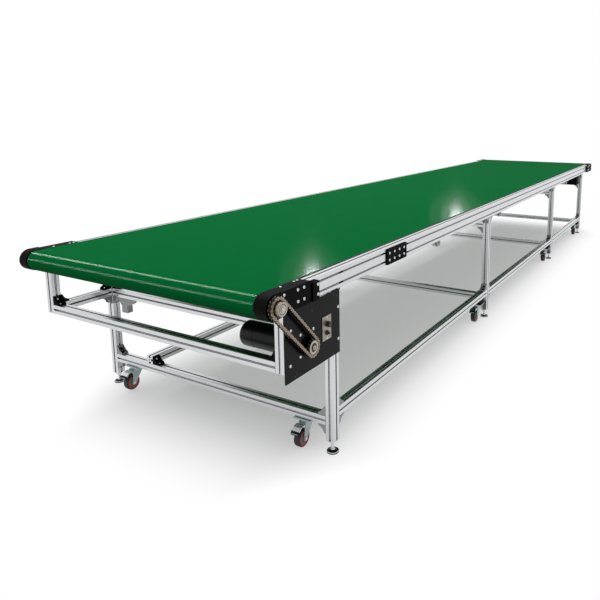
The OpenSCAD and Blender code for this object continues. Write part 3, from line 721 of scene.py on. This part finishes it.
def make_feet():
    """Levelling feet: rubber pad, plated rim, threaded stud with its nut, and end plate, with the cone of the
    plated disc in dark black-oxide steel as painted shade on its top.
    """
    mesh = bmesh.new()
    pad = [(0, 0), (24, 0), (24.8, 0.8), (25, 2), (25, 4.6), (23.4, 5.2)]
    rim = [(23.4, 5.0), (24.6, 5.4), (24.9, 6.8), (24.2, 8.0), (22.8, 7.6)]
    cone = [(22.8, 7.6), (16, 8.6), (12, 10.4), (9.5, 13.4)]
    neck = [(9.5, 13.4), (8.6, 16.5), (7, 17.8), (5.6, 18)]
    thread = []
    for k in range(15):
        thread += [(5.6, 18 + k * 1.5), (6.1, 18.75 + k * 1.5)]
    thread += [(5.6, 41)]
    nut = [(5.6, 38), (9, 38), (9.6, 38.6, 6), (9.6, 45, 6), (9.2, 45.6), (5, 45.8)]
    end_plate = [(5.6, 45.6), (16, 45.8), (17, 46.4), (17, 51.6), (16, 52)]
    for x in LEG_X:
        for y in (RIGHT_Y, LEFT_Y):
            # the cone takes the dark black-oxide finish: painted shade on top of the plated disc
            for profile, steps, finish in ((pad, 48, 1), (rim, 48, 0), (cone, 48, 2), (neck, 48, 0),
                                           (thread, 24, 0), (nut, 24, 0), (end_plate, 32, 0)):
                turn_piece(mesh, facing((x, y, 0)), profile, steps, finish)
    make("levelling_feet", mesh, [ZINC, RUBBER, BLACK_OXIDE],
         replaces=["foot_studs", "foot_pads"])


# ------------------------------------------------------------ slot covers
COVER_RUNS = ((-2540, -2230), (-1960, 2715))


def slot_covers():
    """Grey strips pressed in the outer slots of both side rails, open beside the plates."""
    mesh = bmesh.new()
    for s, y in ((-1, RIGHT_Y - BAR / 2), (1, LEFT_Y + BAR / 2)):
        for x0, x1 in COVER_RUNS:
            for z in RAIL_SLOTS:
                place = facing(((x0 + x1) / 2, y - s * 1.8, z), (0, s, 0))
                half = (x1 - x0) / 2
                flat_piece(mesh, place, [(-half, -3.9), (half, -3.9), (half, 3.9), (-half, 3.9)], -2.0, 1.2)
    make("slot_cover_strips", mesh, [COVER], ease=0.4)


bracket_screws()
motor_plate_screws()
corner_screws()
belt_piece = make_belt()
make_chain()
sprocket_hubs()
make_motor()
switch_parts()
castor_parts()
make_feet()
slot_covers()
for eased, amount in (("drive_brackets", 1.6), ("idle_brackets", 1.6), ("join_plates", 1.2),
                      ("motor_plate", 0.8), ("splice_plates", 0.8), ("switch_plate", 0.4)):
    ease_edges(eased, amount)


# --------------------------------------------------------- light and floor
def soft_lamp(name, at, aim, size, watts, tall=None, only=None):
    """Rectangular or round lamp at a point in metres, for all or only for some glossy pieces."""
    data = bpy.data.lights.new(name, "AREA")
    data.energy = watts
    data.shape = "RECTANGLE" if tall else "DISK"
    data.size = size
    if tall:
        data.size_y = tall
    lamp = bpy.data.objects.new(name, data)
    lamp.location = at
    lamp.rotation_euler = (Vector(aim) - Vector(at)).to_track_quat("-Z", "Y").to_euler()
    lamp.visible_camera = False
    if only:
        lamp.visible_diffuse = False
        lamp.light_linking.receiver_collection = only
    bpy.context.scene.collection.objects.link(lamp)


def seen_directly(tree):
    """1 for rays that show the surroundings as they are: seen, mirrored or through glass."""
    rays = add(tree, "ShaderNodeLightPath").outputs
    seen = rays["Is Camera Ray"]
    for other in ("Is Glossy Ray", "Is Transmission Ray"):
        seen = add(tree, "ShaderNodeMath", {0: seen, 1: rays[other]}, operation="MAXIMUM").outputs[0]
    return seen


def set_stage():
    """Pale floor, white surroundings and the studio's lamps."""
    world = bpy.data.worlds.new("white_studio")
    bpy.context.scene.world = world
    world.use_nodes = True
    tree = world.node_tree
    tree.nodes.clear()
    seen = seen_directly(tree)
    place = add(tree, "ShaderNodeTexCoord").outputs["Generated"]
    lean = add(tree, "ShaderNodeVectorMath", {0: place, 1: (-0.25, 0.35, 0.9)}, operation="DOT_PRODUCT")
    studio = add(tree, "ShaderNodeMapRange", {"Value": lean.outputs["Value"], "From Min": -0.45,
                                              "From Max": 0.85, "To Min": 0.2, "To Max": 0.8},
                 interpolation_type="SMOOTHSTEP")
    level = add(tree, "ShaderNodeMapRange", {"Value": seen, "To Min": studio.outputs["Result"],
                                             "To Max": 1.0})
    light = add(tree, "ShaderNodeBackground", {"Color": (1, 1, 1, 1), "Strength": level.outputs["Result"]})
    add(tree, "ShaderNodeOutputWorld", {"Surface": light.outputs["Background"]})

    mesh = bmesh.new()
    bmesh.ops.create_grid(mesh, x_segments=1, y_segments=1, size=40)
    data = bpy.data.meshes.new("studio_floor")
    mesh.to_mesh(data)
    mesh.free()
    floor = bpy.data.objects.new("studio_floor", data)
    floor.location = (0, 0, -0.0005)
    bpy.context.scene.collection.objects.link(floor)
    material, tree, shader = finish_of("white_painted_floor", roughness=0.9, specular_ior_level=0.1)
    spread(tree, shader, grain(tree, (900, 900, 900)), ("#F2F2F2", "#F4F4F4"), (0.85, 0.92))
    place = add(tree, "ShaderNodeTexCoord").outputs["Object"]
    parts = add(tree, "ShaderNodeSeparateXYZ", {"Vector": place})
    # past these distances from the middle, in metres, the floor turns to the white of the surroundings
    beyond = []
    for axis, near, far in (("X", 2.5, 3.15), ("Y", 0.4, 0.9)):
        away = add(tree, "ShaderNodeMath", {0: parts.outputs[axis]}, operation="ABSOLUTE")
        beyond.append(add(tree, "ShaderNodeMapRange", {"Value": away.outputs[0], "From Min": near,
                                                       "From Max": far},
                          interpolation_type="SMOOTHSTEP").outputs["Result"])
    reach = add(tree, "ShaderNodeMath", {0: beyond[0], 1: beyond[1]}, operation="ADD", use_clamp=True)
    fade = add(tree, "ShaderNodeMapRange", {"Value": reach.outputs[0], "To Min": 0.3})
    bright = add(tree, "ShaderNodeMapRange", {"Value": seen_directly(tree), "To Min": 0.22,
                                              "To Max": 1.0})
    glow = add(tree, "ShaderNodeEmission", {"Color": (1, 1, 1, 1), "Strength": bright.outputs["Result"]})
    both = add(tree, "ShaderNodeMixShader", {0: fade.outputs["Result"], 1: shader.outputs["BSDF"],
                                             2: glow.outputs["Emission"]})
    output = next(node for node in tree.nodes if node.type == "OUTPUT_MATERIAL")
    tree.links.new(both.outputs["Shader"], output.inputs["Surface"])
    data.materials.append(material)


set_stage()
soft_lamp("high_softbox", (-0.6, 1.6, 4.2), (-0.4, 0.0, 0.4), 6.0, 55, 2.6)

# Lamps that only the belt's gloss sees: two bright lines along its nose, and two glints by the right rail.
glossy_face = bpy.data.collections.new("glossy_face")
glossy_face.objects.link(belt_piece)
NOSE_MIDDLE = (-2.98, 3.75, 0.72)
for name, place_at, level in (("upper_nose_line", (-2.59, 3.75, 3.69), 1500),
                              ("lower_nose_line", (-5.84, 3.75, 1.62), 800)):
    for number, (tall, share) in enumerate(((0.7, 1.0), (1.3, 0.8)), 1):
        soft_lamp(f"{name}_{number}", place_at, NOSE_MIDDLE, 4.6, level * share, tall, glossy_face)
GLINTS = (((1.75, 2.6, 2.5), (-2.65, -0.57, 0.763), 42, 9),
          ((4.45, 1.62, 1.9), (-1.0, -0.54, 0.763), 16, 10))
for number, (place_at, lit, core, halo) in enumerate(GLINTS, 1):
    for size, watts in ((0.2, core), (0.5, halo), (0.9, halo * 0.6)):
        soft_lamp(f"belt_glint_{number}", place_at, lit, size, watts, only=glossy_face)
